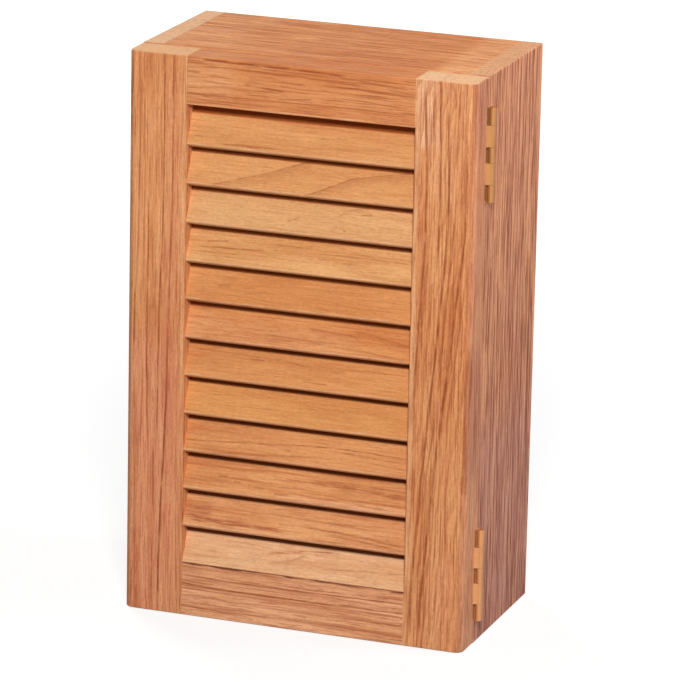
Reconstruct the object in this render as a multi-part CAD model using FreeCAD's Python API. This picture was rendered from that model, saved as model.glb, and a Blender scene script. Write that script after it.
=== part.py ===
import FreeCAD, Part
import math
import os

# Louvred door cabinet in teak: a tongued carcass with a let-in back, one housed shelf and a
# framed louvre door on two brass butt hinges.  Millimetres.  +Z up, the door faces -Y, the
# hinges are on the +X side.  Origin: centre of the carcass base, on the surface it stands on.

V = FreeCAD.Vector

# ---- driving dimensions: carcass ----
case_width = 250.0
case_height = 400.0
case_depth = 115.0
side_thickness = 15.0
top_thickness = 15.0
bottom_thickness = 15.0
back_thickness = 5.0
back_lap = 7.5               # how far the back panel laps onto each carcass member
shelf_thickness = 12.0
shelf_level = 196.0          # underside of the shelf above the base
shelf_setback = 8.0          # shelf front edge behind the carcass front edge
housing_depth = 5.0          # depth of the stopped housings in the sides, for every board's ends
housing_stop = 6.0           # the housings stop this far behind a board's front edge
tongue_thickness = 5.0       # tongues on the ends of the top and bottom panels
hanging_rail_height = 30.0
hanging_rail_thickness = 15.0
rail_tongue_thickness = 6.0
rail_tongue_shoulder = 5.0   # shoulder above and below the tongues of the hanging rails
wall_hole_radius = 2.5
wall_hole_spacing = 160.0    # left to right between the wall holes of a hanging rail
arris = 0.6                  # chamfer of the outer edges

# ---- driving dimensions: door ----
door_thickness = 25.0
door_gap = 0.8               # closed gap between the door's back and the carcass front
door_end_gap = 0.5           # door held back from the carcass top and base
stile_width = 43.0
top_rail_height = 34.0
bottom_rail_height = 38.0
door_edge_radius = 6.0       # round-over of the outer front edges of the stiles
opening_arris = 0.5          # chamfer of the front edges of the opening
tenon_thickness = 8.0
tenon_length = 28.0
tenon_shoulder = 6.0         # shoulder above and below each tenon
slat_count = 12
slat_thickness = 6.0
slat_width = 30.0
slat_tilt = 25.0             # degrees from upright, top leaning into the case
slat_recess = 1.0            # lower front edge behind the door's face
slat_arris = 0.8             # chamfer of the long edges of each slat
slat_housing = 6.0           # depth of the slanted housings in the stiles
top_slat_drop = 1.0          # extra daylight between the top rail and the first slat

# ---- driving dimensions: hinges ----
hinge_end_knuckle = 12.0
hinge_door_knuckle = 15.0
hinge_mid_knuckle = 11.0
upper_hinge_drop = 53.5      # hinge centre below the carcass top
lower_hinge_rise = 50.0      # hinge centre above the base
leaf_thickness = 1.6
leaf_width = 12.0            # width of the leaf that lies on the wood
barrel_radius = 2.4
barrel_offset = 3.1          # hinge axis outside the face of the side panel
root_depth = 3.6             # the knuckle roots reach this far from the joint's middle
root_width = 3.0             # and this far in from the outer face
knuckle_gap = 0.2
pin_radius = 1.2
pin_stand = 0.4              # the pin stands this far out of the barrel at each end
running_clearance = 0.05     # radial: pin in its knuckles, screws in their holes
leaf_screw_spread = 42.0     # between the two screws of a leaf

# ---- driving dimensions: screws ----
screw_radius = 1.5
screw_head_radius = 2.9
screw_head_height = 1.6
hinge_screw_length = 15.0
end_room = 1.0               # spare depth at the end of a screw hole or mortise

# ---- driving dimensions: magnetic catch ----
magnet_level = 290.0
magnet_radius = 4.0
magnet_length = 5.0
strike_radius = 5.0
strike_thickness = 1.5
glue_clearance = 0.05        # radial: magnet and strike disc in their holes

# ---- places worked out from the sizes above ----
half_width = case_width / 2.0
case_front = -case_depth / 2.0
case_back = case_depth / 2.0
inner_half = half_width - side_thickness
under_top = case_height - top_thickness
door_back = case_front - door_gap
door_front = door_back - door_thickness
door_low = door_end_gap
door_high = case_height - door_end_gap
opening_half = half_width - stile_width
opening_low = door_low + bottom_rail_height
opening_high = door_high - top_rail_height
slat_pitch = (opening_high - opening_low - top_slat_drop) / slat_count
hinge_length = 2.0 * (hinge_end_knuckle + hinge_door_knuckle) + hinge_mid_knuckle
axis_x = half_width + barrel_offset
axis_y = case_front - door_gap / 2.0
hinge_middles = {"upper": case_height - upper_hinge_drop, "lower": lower_hinge_rise}
back_front = case_back - back_thickness
back_half = inner_half + back_lap
back_low = bottom_thickness - back_lap
back_high = under_top + back_lap
shelf_high = shelf_level + shelf_thickness
shelf_front = case_front + shelf_setback
rail_front = back_front - hanging_rail_thickness
rail_levels = {"upper": under_top - hanging_rail_height, "lower": bottom_thickness}
clear = 1.0                  # cutting tools overrun open faces by this much
tolerance = 0.01             # edges and faces nearer than this count as the same

os.makedirs("parts", exist_ok=True)


# ---- helpers ----
def save(name, shape):
    shape.exportStep("parts/" + name + ".step")


def save_group(name, solids):
    save(name, Part.makeCompound(solids))


def block(low, high):
    """Box between two opposite corners, given in any order."""
    a = [min(low[i], high[i]) for i in range(3)]
    b = [max(low[i], high[i]) for i in range(3)]
    return Part.makeBox(b[0] - a[0], b[1] - a[1], b[2] - a[2], V(*a))


def rod(radius, start, direction, length):
    return Part.makeCylinder(radius, length, V(*start), V(*direction))


def near(a, b):
    return abs(a - b) < tolerance


def picked(shape, wanted):
    """The edges whose middle passes the test."""
    return [e for e in shape.Edges if wanted(e.CenterOfMass)]


def cut_all(shape, tools):
    return shape.cut(Part.makeCompound(tools))


def countersunk(head, inwards, length, extra):
    """Cone and shank of a countersunk screw, or of its hole where extra is a clearance."""
    top, d = V(*head), V(*inwards)
    cone = Part.makeCone(screw_head_radius + extra, screw_radius + extra, screw_head_height, top, d)
    start = top + d * screw_head_height
    return cone.fuse(Part.makeCylinder(screw_radius + extra, length - screw_head_height, start, d))


def screw_row(heads, inwards, length):
    """Screws and their holes for a list of head places."""
    screws = [countersunk(head, inwards, length, 0.0) for head in heads]
    holes = [countersunk(head, inwards, length + end_room, running_clearance) for head in heads]
    return screws, holes


def tongue(front, rear, low, high):
    """Tongues on both ends of a board, which also cut the housings they sit in."""
    return block((-inner_half - housing_depth, front, low), (inner_half + housing_depth, rear, high))


# ---- boards between the sides; each has tongues in stopped housings ----
rail_tongue_front = rail_front + (hanging_rail_thickness - rail_tongue_thickness) / 2.0
panel_tongue_front = case_front + housing_stop
tongues = {"shelf": tongue(shelf_front + housing_stop, back_front, shelf_level, shelf_high)}
panel_middles = {"bottom_panel": bottom_thickness / 2.0, "top_panel": under_top + top_thickness / 2.0}
for name, middle in panel_middles.items():
    tongues[name] = tongue(panel_tongue_front, back_front,
                           middle - tongue_thickness / 2.0, middle + tongue_thickness / 2.0)
for name, low in rail_levels.items():
    tongues[name + "_hanging_rail"] = tongue(rail_tongue_front, rail_tongue_front + rail_tongue_thickness,
                                             low + rail_tongue_shoulder,
                                             low + hanging_rail_height - rail_tongue_shoulder)


def save_board(name, board, holes=()):
    whole = board.fuse(tongues[name]).removeSplitter()
    save(name, cut_all(whole, holes) if holes else whole)


# ---- hanging rails against the back, with the four wall holes ----
wall_hole_xs = (-wall_hole_spacing / 2.0, wall_hole_spacing / 2.0)
wall_hole_zs = [low + hanging_rail_height / 2.0 for low in rail_levels.values()]
wall_holes = [rod(wall_hole_radius, (x, rail_front - clear, z), (0, 1, 0), case_depth)
              for z in wall_hole_zs for x in wall_hole_xs]
for name, low in rail_levels.items():
    rail = block((-inner_half, rail_front, low), (inner_half, back_front, low + hanging_rail_height))
    save_board(name + "_hanging_rail", rail, wall_holes)

# ---- back panel, glued into rebates, and the shelf ----
back_board = block((-back_half, back_front, back_low), (back_half, case_back, back_high))
save("back_panel", cut_all(back_board, wall_holes))
shelf = block((-inner_half, shelf_front, shelf_level), (inner_half, back_front, shelf_high))
shelf = shelf.makeChamfer(arris, picked(shelf, lambda p: near(p.x, 0.0) and near(p.y, shelf_front)))
save_board("shelf", shelf)


# ---- hinges: sign -1 is the door's side of the joint, +1 the carcass side ----
def knuckle_spans(z_middle, sign):
    """Low and high ends of one leaf's knuckles: the carcass leaf has the 1st, 3rd and 5th."""
    end, door_one, half_gap = hinge_end_knuckle, hinge_door_knuckle, knuckle_gap / 2.0
    cuts = [0.0]
    for length in (end, door_one, hinge_mid_knuckle, door_one, end):
        cuts.append(cuts[-1] + length)
    low = z_middle - hinge_length / 2.0
    if sign < 0:
        return [(low + cuts[i] + half_gap, low + cuts[i + 1] - half_gap) for i in (1, 3)]
    middle = (low + cuts[2] + half_gap, low + cuts[3] - half_gap)
    return [(low, low + cuts[1] - half_gap), middle, (low + cuts[4] + half_gap, low + cuts[5])]


def leaf_heads(z_middle, sign):
    x, y = half_width - leaf_width / 2.0, axis_y + sign * door_gap / 2.0
    return [(x, y, z_middle + step * leaf_screw_spread / 2.0) for step in (-1, 1)]


def knuckle(low, high, sign):
    """Barrel length with the web that joins it to the leaf, as one extruded section."""
    inner_face = axis_y + sign * door_gap / 2.0
    root_face = axis_y + sign * root_depth
    reach = math.sqrt(barrel_radius ** 2 - (door_gap / 2.0) ** 2)
    crown = V(axis_x, axis_y + sign * barrel_radius, low)
    meet = V(axis_x - reach, inner_face, low)
    far_angle = sign * (math.asin(door_gap / 2.0 / barrel_radius) - math.pi / 2.0) / 2.0
    far = V(axis_x, axis_y, low) + V(math.cos(far_angle), math.sin(far_angle), 0) * barrel_radius
    foot = V(half_width, inner_face, low)
    heel = V(half_width, root_face, low)
    edges = [Part.makeLine(foot, heel), Part.makeLine(heel, crown),
             Part.Arc(crown, far, meet).toShape(), Part.makeLine(meet, foot)]
    web = Part.Face(Part.Wire(edges)).extrude(V(0, 0, high - low))
    root = block((half_width - root_width, inner_face, low), (half_width, root_face, high))
    return web.fuse(root)


def hinge_leaf(z_middle, sign):
    inner_face = axis_y + sign * door_gap / 2.0
    low, high = z_middle - hinge_length / 2.0, z_middle + hinge_length / 2.0
    inner = half_width - leaf_width
    plate = block((inner, inner_face, low), (half_width, inner_face + sign * leaf_thickness, high))
    own = [knuckle(a, b, sign) for a, b in knuckle_spans(z_middle, sign)]
    leaf = plate.fuse(own).removeSplitter()
    bore_start = (axis_x, axis_y, low - clear)
    bore = rod(pin_radius + running_clearance, bore_start, (0, 0, 1), hinge_length + 2.0 * clear)
    holes = screw_row(leaf_heads(z_middle, sign), (0, sign, 0), hinge_screw_length)[1]
    return cut_all(leaf, [bore] + holes)


def hinge_pin(z_middle):
    start = (axis_x, axis_y, z_middle - hinge_length / 2.0 - pin_stand)
    return rod(pin_radius, start, (0, 0, 1), hinge_length + 2.0 * pin_stand)


def leaf_let_in(z_middle, sign):
    """Mortise for one leaf, deeper along the outer edge for the knuckle roots."""
    start = axis_y - sign * clear
    low, high = z_middle - hinge_length / 2.0, z_middle + hinge_length / 2.0
    outer = half_width + clear
    plate_face = axis_y + sign * (door_gap / 2.0 + leaf_thickness)
    plate = block((half_width - leaf_width, start, low), (outer, plate_face, high))
    root = block((half_width - root_width, start, low), (outer, axis_y + sign * root_depth, high))
    return plate.fuse(root)


let_ins = {}
leaf_holes = {}
for sign, side_name in ((1, "case"), (-1, "door")):
    heads = [head for middle in hinge_middles.values() for head in leaf_heads(middle, sign)]
    screws, leaf_holes[sign] = screw_row(heads, (0, sign, 0), hinge_screw_length)
    save_group("hinge_" + side_name + "_screws", screws)
    let_ins[sign] = [leaf_let_in(middle, sign) for middle in hinge_middles.values()]
    for name, middle in hinge_middles.items():
        save(name + "_hinge_" + side_name + "_leaf", hinge_leaf(middle, sign))
for name, middle in hinge_middles.items():
    save(name + "_hinge_pin", hinge_pin(middle))

# ---- magnetic catch: a magnet let into the left side panel's front edge, a steel disc in the door ----
magnet_x = side_thickness / 2.0 - half_width
magnet_start = (magnet_x, case_front, magnet_level)
strike_start = (magnet_x, door_back, magnet_level)
save("catch_magnet", rod(magnet_radius, magnet_start, (0, 1, 0), magnet_length))
save("strike_disc", rod(strike_radius, strike_start, (0, -1, 0), strike_thickness))
magnet_hole = rod(magnet_radius + glue_clearance, magnet_start, (0, 1, 0), magnet_length)
strike_hole = rod(strike_radius + glue_clearance, strike_start, (0, -1, 0), strike_thickness)

# ---- carcass: its outer edges are eased over the whole box, then it is parted into its boards ----
carcass = block((-half_width, case_front, 0.0), (half_width, case_back, case_height))
carcass = carcass.makeChamfer(arris, picked(carcass, lambda p: p.y > case_front + arris))
rebate = block((-back_half, back_front, back_low), (back_half, case_back + clear, back_high))


def carcass_board(left, right, low, high):
    board = carcass.common(block((left, case_front, low), (right, case_back, high)))
    return board.cut(rebate)


housings = list(tongues.values())
left_side = carcass_board(-half_width, -inner_half, 0.0, case_height)
save("left_side_panel", cut_all(left_side, housings + [magnet_hole]))
right_side = carcass_board(inner_half, half_width, 0.0, case_height)
save("right_side_panel", cut_all(right_side, housings + let_ins[1] + leaf_holes[1]))
save_board("top_panel", carcass_board(-inner_half, inner_half, under_top, case_height))
save_board("bottom_panel", carcass_board(-inner_half, inner_half, 0.0, bottom_thickness))


# ---- louvre slats: boards with eased edges, tilted, their ends housed in the stiles ----
def slat(index):
    """Slat number index, counted from 0 at the bottom rail."""
    half = opening_half + slat_housing
    board = block((-half, 0.0, 0.0), (half, slat_thickness, slat_width))
    board = board.makeChamfer(slat_arris, picked(board, lambda p: near(p.x, 0.0)))
    board.rotate(V(0, 0, 0), V(1, 0, 0), -slat_tilt)
    board.translate(V(0, door_front + slat_recess, opening_low + index * slat_pitch))
    bed = block((-half - clear, door_front, door_low), (half + clear, case_back, opening_low))
    return board.cut(bed) if index == 0 else board


slats = [slat(i) for i in range(slat_count)]
for i, board in enumerate(reversed(slats)):
    save("louvre_slat_%02d" % (i + 1), board)

# ---- door frame: shaped as one frame, then parted; blind mortise and tenon at each corner ----
frame = block((-half_width, door_front, door_low), (half_width, door_back, door_high))
frame = frame.makeFillet(door_edge_radius, picked(
    frame, lambda p: near(abs(p.x), half_width) and near(p.y, door_front)))
frame = frame.makeChamfer(arris, picked(
    frame, lambda p: (near(p.z, door_low) or near(p.z, door_high)) and p.y < door_back - arris))
frame = frame.cut(block((-opening_half, door_front - clear, opening_low),
                        (opening_half, door_back + clear, opening_high)))
frame = frame.makeChamfer(opening_arris, picked(
    frame, lambda p: near(p.y, door_front) and abs(p.x) < opening_half + tolerance
    and opening_low - tolerance < p.z < opening_high + tolerance))
tenon_front = (door_front + door_back - tenon_thickness) / 2.0
tenon_back = tenon_front + tenon_thickness


def tenon(low, high, extra):
    reach = opening_half + tenon_length + extra
    return block((-reach, tenon_front, low + tenon_shoulder), (reach, tenon_back, high - tenon_shoulder))


rail_spans = {"top": (opening_high, door_high), "bottom": (door_low, opening_low)}
for name, (low, high) in rail_spans.items():
    rail = frame.common(block((-opening_half, door_front, low), (opening_half, door_back, high)))
    rail = rail.fuse(tenon(low, high, 0.0)).removeSplitter()
    save("door_" + name + "_rail", cut_all(rail, slats))
mortises = [tenon(low, high, end_room) for low, high in rail_spans.values()]
left_stile = frame.common(block((-half_width, door_front, door_low), (-opening_half, door_back, door_high)))
save("door_left_stile", cut_all(left_stile, mortises + slats + [strike_hole]))
right_stile = frame.common(block((opening_half, door_front, door_low), (half_width, door_back, door_high)))
save("door_right_stile", cut_all(right_stile, mortises + slats + let_ins[-1] + leaf_holes[-1]))

print("slat pitch %.2f mm, hinge axis at x %.2f y %.2f mm" % (slat_pitch, axis_x, axis_y))
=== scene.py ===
import math

import bmesh
import bpy
from mathutils import Matrix, Vector


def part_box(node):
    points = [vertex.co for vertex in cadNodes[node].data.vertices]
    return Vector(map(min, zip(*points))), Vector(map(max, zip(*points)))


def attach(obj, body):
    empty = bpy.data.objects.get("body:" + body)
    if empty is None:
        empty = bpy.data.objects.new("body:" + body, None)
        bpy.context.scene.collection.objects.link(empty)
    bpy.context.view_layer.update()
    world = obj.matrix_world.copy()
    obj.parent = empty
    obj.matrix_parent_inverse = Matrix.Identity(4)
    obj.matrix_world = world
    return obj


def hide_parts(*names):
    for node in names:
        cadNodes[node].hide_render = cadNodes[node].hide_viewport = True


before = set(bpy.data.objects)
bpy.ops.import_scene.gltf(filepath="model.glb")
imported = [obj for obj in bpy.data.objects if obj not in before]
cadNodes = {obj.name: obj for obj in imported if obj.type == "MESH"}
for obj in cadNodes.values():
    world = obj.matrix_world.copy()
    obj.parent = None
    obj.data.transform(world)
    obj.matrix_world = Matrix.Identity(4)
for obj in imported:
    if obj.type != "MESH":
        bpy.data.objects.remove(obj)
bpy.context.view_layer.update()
mm = 0.001
print("frame loaded:", len(cadNodes), "nodes")


# small helpers for node trees
def addNode(tree, kind, **settings):
    node = tree.nodes.new(kind)
    for name, value in settings.items():
        setattr(node, name, value)
    return node


def feed(tree, socket, value):
    # value is another node's output, or a plain number, colour or vector
    if isinstance(value, bpy.types.NodeSocket):
        tree.links.new(value, socket)
    else:
        socket.default_value = value


def calc(tree, operation, first, second=0.0):
    node = addNode(tree, "ShaderNodeMath", operation=operation)
    feed(tree, node.inputs[0], first)
    feed(tree, node.inputs[1], second)
    return node.outputs[0]


def calcVector(tree, operation, vector, other):
    node = addNode(tree, "ShaderNodeVectorMath", operation=operation)
    feed(tree, node.inputs[0], vector)
    feed(tree, node.inputs[1], other)
    return node.outputs[0]


def lookTowards(tree, normal, direction):
    # 1 where a surface looks in the direction, 0 where it stands square to it, -1 where it looks back
    node = addNode(tree, "ShaderNodeVectorMath", operation="DOT_PRODUCT")
    feed(tree, node.inputs[0], normal)
    feed(tree, node.inputs[1], direction)
    return node.outputs["Value"]


def splitVector(tree, vector):
    node = addNode(tree, "ShaderNodeSeparateXYZ")
    feed(tree, node.inputs[0], vector)
    return node.outputs


def remap(tree, value, fromLow, fromHigh, toLow=0.0, toHigh=1.0, smooth=True):
    node = addNode(tree, "ShaderNodeMapRange", interpolation_type="SMOOTHSTEP" if smooth else "LINEAR")
    feed(tree, node.inputs["Value"], value)
    feed(tree, node.inputs["From Min"], fromLow)
    feed(tree, node.inputs["From Max"], fromHigh)
    feed(tree, node.inputs["To Min"], toLow)
    feed(tree, node.inputs["To Max"], toHigh)
    return node.outputs["Result"]


def blendColor(tree, factor, first, second, mode="MIX"):
    node = addNode(tree, "ShaderNodeMix", data_type="RGBA", blend_type=mode)
    feed(tree, node.inputs[0], factor)     # sockets 6 and 7 are the two colours
    feed(tree, node.inputs[6], first)
    feed(tree, node.inputs[7], second)
    return node.outputs[2]


def noiseAt(tree, vector, look):
    # look's size is that of the noise's cells in millimetres: along the grain, through the board, across it
    squeezed = calcVector(tree, "MULTIPLY", vector, [1.0 / length for length in look["size"]])
    node = addNode(tree, "ShaderNodeTexNoise")
    feed(tree, node.inputs["Vector"], squeezed)
    node.inputs["Scale"].default_value = 1.0
    node.inputs["Detail"].default_value = look.get("detail", 2.0)
    node.inputs["Roughness"].default_value = look.get("roughness", 0.5)
    node.inputs["Distortion"].default_value = look.get("distortion", 0.0)
    return node.outputs["Fac"]


def noiseMask(tree, vector, look):
    # the same noise as a mask, which rises from look's least to 1 within its band
    return remap(tree, noiseAt(tree, vector, look), *look["band"], look.get("least", 0.0), 1.0)


def newGroup(name, inputs, outputs):
    # inputs holds each input's first value, and None for a vector
    tree = bpy.data.node_groups.new(name, "ShaderNodeTree")
    for label, value in inputs.items():
        kind = "NodeSocketVector" if value is None else "NodeSocketFloat"
        socket = tree.interface.new_socket(label, in_out="INPUT", socket_type=kind)
        if value is not None:
            socket.default_value = value
    for label in outputs:
        tree.interface.new_socket(label, in_out="OUTPUT", socket_type="NodeSocketFloat")
    return tree, addNode(tree, "NodeGroupInput").outputs, addNode(tree, "NodeGroupOutput").inputs


def useGroup(tree, group, **values):
    # names in values are the group's inputs with their blanks left out
    node = addNode(tree, "ShaderNodeGroup", node_tree=group)
    for socket in node.inputs:
        name = socket.name.replace(" ", "")
        if name in values:
            feed(tree, socket, values[name])
    return node.outputs


def newMaterial(name):
    material = bpy.data.materials.new(name)
    material.use_nodes = True
    return material, material.node_tree, material.node_tree.nodes["Principled BSDF"]


def placeInMillimetres(tree, turn):
    # a piece's own coordinates in millimetres, turned so that the grain runs along x, and its normals
    place = addNode(tree, "ShaderNodeTexCoord")
    mapping = addNode(tree, "ShaderNodeMapping", vector_type="POINT")
    feed(tree, mapping.inputs["Vector"], place.outputs["Object"])
    mapping.inputs["Scale"].default_value = (1.0 / mm, 1.0 / mm, 1.0 / mm)
    mapping.inputs["Rotation"].default_value = turn
    return mapping.outputs[0], place.outputs["Normal"]


def addBump(tree, shader, height, strength, depth):
    bump = addNode(tree, "ShaderNodeBump")
    bump.inputs["Strength"].default_value = strength
    bump.inputs["Distance"].default_value = depth * mm
    feed(tree, bump.inputs["Height"], height)
    feed(tree, shader.inputs["Normal"], bump.outputs[0])


def tone(red, green, blue):
    # a colour as a paint program writes it, from 0 to 255, as the linear colour that a shader takes
    def linear(value):
        share = value / 255.0
        return share / 12.92 if share <= 0.04045 else ((share + 0.055) / 1.055) ** 2.4
    return (linear(red), linear(green), linear(blue), 1.0)


def lay(tree, color, mask, show, shade):
    # puts a shade over a colour where the mask says, as strongly as show says
    return blendColor(tree, calc(tree, "MULTIPLY", mask, show), color, tone(*shade))


# wood effects: vectors are in millimetres, x along the grain, y through the board and z across it
# share is how much a noise counts in the mixed fibre, band the levels between which it turns into a mask
fibreLooks = {
    "cloud": {"size": (110.0, 22.0, 20.0), "detail": 3.0, "roughness": 0.55},
    "streak": {"size": (70.0, 3.4, 2.8), "detail": 3.0, "roughness": 0.6, "distortion": 0.1},
    "thread": {"size": (42.0, 1.5, 1.15)},
    "hairs": {"size": (14.0, 0.7, 0.55), "roughness": 0.6, "share": 0.55},
    "grit": {"size": (3.0, 1.4, 1.3), "roughness": 0.6, "share": 0.45},
    "ticks": {"size": (11.0, 1.0, 0.85), "detail": 1.0, "band": (0.56, 0.68)},
    "tickPatches": {"size": (60.0, 9.0, 8.0), "detail": 1.0, "band": (0.38, 0.6), "least": 0.35},
    "pores": {"size": (6.0, 0.4, 0.36), "detail": 1.0, "band": (0.58, 0.7)},
    "poreCrowds": {"size": (45.0, 6.0, 5.0), "detail": 1.0, "band": (0.35, 0.65)},
}


def makeFibreGroup():
    tree, given, out = newGroup(
        "woodFibre", {"Vector": None}, ["Cloud", "Streak", "Thread", "Fibre", "Ticks", "Pores"])
    vector = given["Vector"]
    for label in ("Cloud", "Streak", "Thread"):
        feed(tree, out[label], noiseAt(tree, vector, fibreLooks[label.lower()]))
    hairs, grit = (
        calc(tree, "MULTIPLY", noiseAt(tree, vector, look), look["share"])
        for look in (fibreLooks["hairs"], fibreLooks["grit"]))
    feed(tree, out["Fibre"], calc(tree, "ADD", hairs, grit))
    for label, crowd in (("Ticks", "tickPatches"), ("Pores", "poreCrowds")):
        single = noiseMask(tree, vector, fibreLooks[label.lower()])
        feed(tree, out[label], calc(tree, "MULTIPLY", single, noiseMask(tree, vector, fibreLooks[crowd])))
    return tree


# a year's wood darkens slowly, to the power of rise, and its late wood ends at once
ringLook = {
    "sway": {"size": (75.0, 16.0, 16.0)}, "ripple": {"size": (18.0, 6.0, 6.0)}, "rippleShare": 0.15,
    "rise": 2.5, "fallBand": (1.0, 0.9),
}


def makeRingGroup():
    tree, given, out = newGroup(
        "growthRings",
        {"Vector": None, "Pith Through": -120.0, "Pith Across": 40.0, "Slope": 0.0, "Ring Width": 3.5,
         "Wander": 3.0},
        ["Ring"])
    along, through, across = splitVector(tree, given["Vector"])
    drift = calc(tree, "MULTIPLY", along, given["Slope"])
    fromPith = calc(tree, "SUBTRACT", calc(tree, "SUBTRACT", across, given["Pith Across"]), drift)
    depth = calc(tree, "SUBTRACT", through, given["Pith Through"])
    square = calc(tree, "ADD", calc(tree, "POWER", fromPith, 2.0), calc(tree, "POWER", depth, 2.0))
    radius = calc(tree, "SQRT", square)
    sway, ripple = (
        calc(tree, "SUBTRACT", noiseAt(tree, given["Vector"], ringLook[kind]), 0.5)
        for kind in ("sway", "ripple"))
    shift = calc(tree, "ADD", sway, calc(tree, "MULTIPLY", ripple, ringLook["rippleShare"]))
    bent = calc(tree, "ADD", radius, calc(tree, "MULTIPLY", shift, given["Wander"]))
    phase = calc(tree, "FRACT", calc(tree, "DIVIDE", bent, given["Ring Width"]))
    rise = calc(tree, "POWER", phase, ringLook["rise"])
    feed(tree, out["Ring"], calc(tree, "MULTIPLY", rise, remap(tree, phase, *ringLook["fallBand"])))
    return tree


markLook = {
    "sway": {"size": (32.0, 40.0, 40.0)},
    "breaks": {"size": (14.0, 1.6, 1.4), "band": (0.34, 0.6), "least": 0.35},
    "core": 0.1,          # share of the width that is fully dark
    "endFade": 0.14,      # share of the length over which each end fades
    "shadeShow": 0.45, "leastFade": 0.001,
    "reach": 60.0,        # how far from the middle of the board a bent line may lie
}


def makeMarkGroup():
    # one line of figure: share runs from 0 to 1 along it, off is the distance from its middle
    # with a fade, a soft shade runs out that far below it
    tree, given, out = newGroup(
        "grainMark",
        {"Vector": None, "Share": 0.5, "Off": 0.0, "Width": 1.0, "Sway": 1.0, "Fade": 0.0}, ["Mark"])
    sway = calc(tree, "SUBTRACT", noiseAt(tree, given["Vector"], markLook["sway"]), 0.5)
    wave = calc(tree, "MULTIPLY", sway, calc(tree, "MULTIPLY", given["Sway"], 2.0))
    off = calc(tree, "SUBTRACT", given["Off"], wave)
    outwards = calc(tree, "DIVIDE", calc(tree, "ABSOLUTE", off), given["Width"])
    breaks = noiseMask(tree, given["Vector"], markLook["breaks"])
    line = calc(tree, "MULTIPLY", remap(tree, outwards, 1.0, markLook["core"]), breaks)
    fade = calc(tree, "ADD", given["Fade"], markLook["leastFade"])
    below = calc(tree, "DIVIDE", calc(tree, "MULTIPLY", off, -1.0), fade)
    shade = calc(tree, "MULTIPLY", remap(tree, below, 1.0, 0.0), calc(tree, "GREATER_THAN", below, 0.0))
    both = calc(tree, "MAXIMUM", line, calc(tree, "MULTIPLY", shade, markLook["shadeShow"]))
    start = remap(tree, given["Share"], 0.0, markLook["endFade"])
    stop = remap(tree, given["Share"], 1.0, 1.0 - markLook["endFade"])
    feed(tree, out["Mark"], calc(tree, "MULTIPLY", both, calc(tree, "MULTIPLY", start, stop)))
    return tree


def traceMark(tree, along, place, points):
    # the share along a line through points (along, across), and how far off it a place lies
    (firstAlong, firstAcross), (lastAlong, lastAcross) = points[0], points[-1]
    share = remap(tree, along, float(firstAlong), float(lastAlong), smooth=False)
    if len(points) == 2:
        middle = remap(tree, share, 0.0, 1.0, float(firstAcross), float(lastAcross), smooth=False)
    else:
        reach = markLook["reach"]
        bend = addNode(tree, "ShaderNodeFloatCurve")
        length = lastAlong - firstAlong
        spots = [((a - firstAlong) / length, (b + reach) / (2.0 * reach)) for a, b in points]
        dots = bend.mapping.curves[0].points
        dots[0].location = spots[0]
        dots[1].location = spots[-1]
        for spot in spots[1:-1]:
            dots.new(*spot)
        bend.mapping.update()
        feed(tree, bend.inputs["Value"], share)
        middle = remap(tree, bend.outputs[0], 0.0, 1.0, -reach, reach, smooth=False)
    return share, calc(tree, "SUBTRACT", place, middle)


# reach is how far, in millimetres, the wear comes in from an edge
edgeLook = {
    "samples": 6, "reach": 1.2, "turnBand": (0.995, 0.86),
    "patches": {"size": (9.0, 4.0, 4.0), "detail": 3.0, "band": (0.35, 0.65), "least": 0.25},
}


def makeEdgeGroup():
    # 1 along the corners of a piece, 0 on its flats, broken up by noise
    tree, given, out = newGroup("edgeWear", {"Vector": None, "Reach": edgeLook["reach"] * mm}, ["Wear"])
    soft = addNode(tree, "ShaderNodeBevel", samples=edgeLook["samples"])
    feed(tree, soft.inputs["Radius"], given["Reach"])
    flat = addNode(tree, "ShaderNodeNewGeometry")
    facing = lookTowards(tree, soft.outputs[0], flat.outputs["True Normal"])
    turned = remap(tree, facing, *edgeLook["turnBand"])
    patches = noiseMask(tree, given["Vector"], edgeLook["patches"])
    feed(tree, out["Wear"], calc(tree, "MULTIPLY", turned, patches))
    return tree


# the blotches and vessels of a cut end, and how squarely a surface has to face along the grain to be one
endLook = {
    "mottle": {"size": (30.0, 5.0, 3.0), "detail": 4.0, "roughness": 0.65, "band": (0.3, 0.6), "least": 0.6},
    "vessels": {"size": (9.0, 1.6, 1.2), "band": (0.56, 0.72)}, "facingBand": (0.6, 0.85),
}


def makeEndGroup():
    # where a saw has cut across the fibres, and the small dark vessels that show there
    tree, given, out = newGroup("endGrain", {"Vector": None, "Facing": 0.0}, ["End", "Vessels"])
    mottle = noiseMask(tree, given["Vector"], endLook["mottle"])
    cut = remap(tree, given["Facing"], *endLook["facingBand"])
    feed(tree, out["End"], calc(tree, "MULTIPLY", cut, mottle))
    feed(tree, out["Vessels"], noiseMask(tree, given["Vector"], endLook["vessels"]))
    return tree


fibreGroup = makeFibreGroup()
ringGroup = makeRingGroup()
markGroup = makeMarkGroup()
edgeGroup = makeEdgeGroup()
endGroup = makeEndGroup()

# the louvre, in millimetres and degrees: its lowest slat's lower front edge, and the step from slat to slat
louvre = {"count": 12, "lowest": 38.5, "pitch": 27.1667, "front": -82.3, "tilt": 25.0}

# how the grain of a board runs: the turn that brings it to the axes of the wood effects, and its direction
grainTurns = {
    "upright": (0.0, math.radians(-90.0), 0.0),
    "level": (0.0, 0.0, 0.0),
    "slat": (math.radians(louvre["tilt"]), 0.0, 0.0),
}
grainRuns = {"upright": (0.0, 0.0, 1.0), "level": (1.0, 0.0, 0.0), "slat": (1.0, 0.0, 0.0)}

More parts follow.
